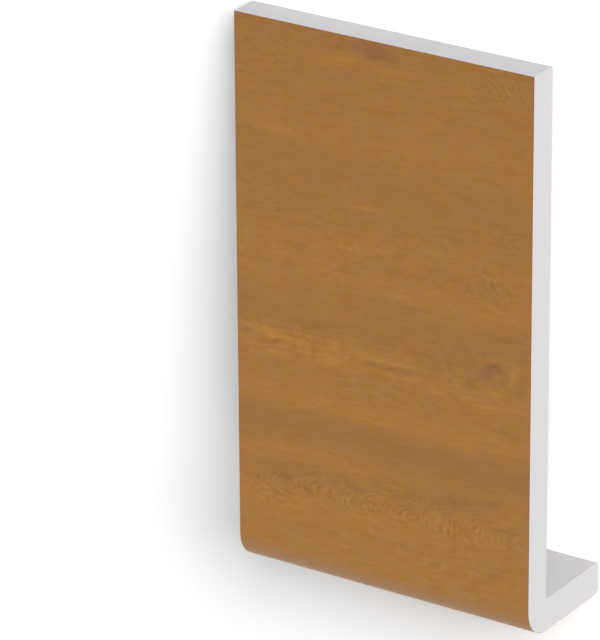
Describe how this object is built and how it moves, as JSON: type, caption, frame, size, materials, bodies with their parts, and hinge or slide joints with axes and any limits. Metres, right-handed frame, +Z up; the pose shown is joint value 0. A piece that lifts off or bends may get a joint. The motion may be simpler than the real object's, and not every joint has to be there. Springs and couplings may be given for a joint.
{
  "type": "fascia board",
  "caption": "Short length of fascia cover board: foamed plastic with a rounded nose and a square leg, faced with golden oak woodgrain film, lying face up on its leg.",
  "frame": {"origin": "on the floor, under the middle of the piece, which lies face up on the tip of its leg and the back corner of its top edge", "axes": "+X along the length, to the right as one looks at the face with the top edge uppermost; +Y from the nose towards the top edge; +Z up, out of the face, which slopes about 10 degrees down towards +Y"},
  "size_m": [0.1, 0.1792, 0.0393],
  "materials": {
    "foamed_pvc": "smooth white skin, finely cellular where it is sawn",
    "woodgrain_film": "printed golden oak woodgrain, lightly embossed, satin"
  },
  "bodies": {
    "root": {"fascia_board": "foamed_pvc", "woodgrain_film": "woodgrain_film"}
  },
  "joints": []
}
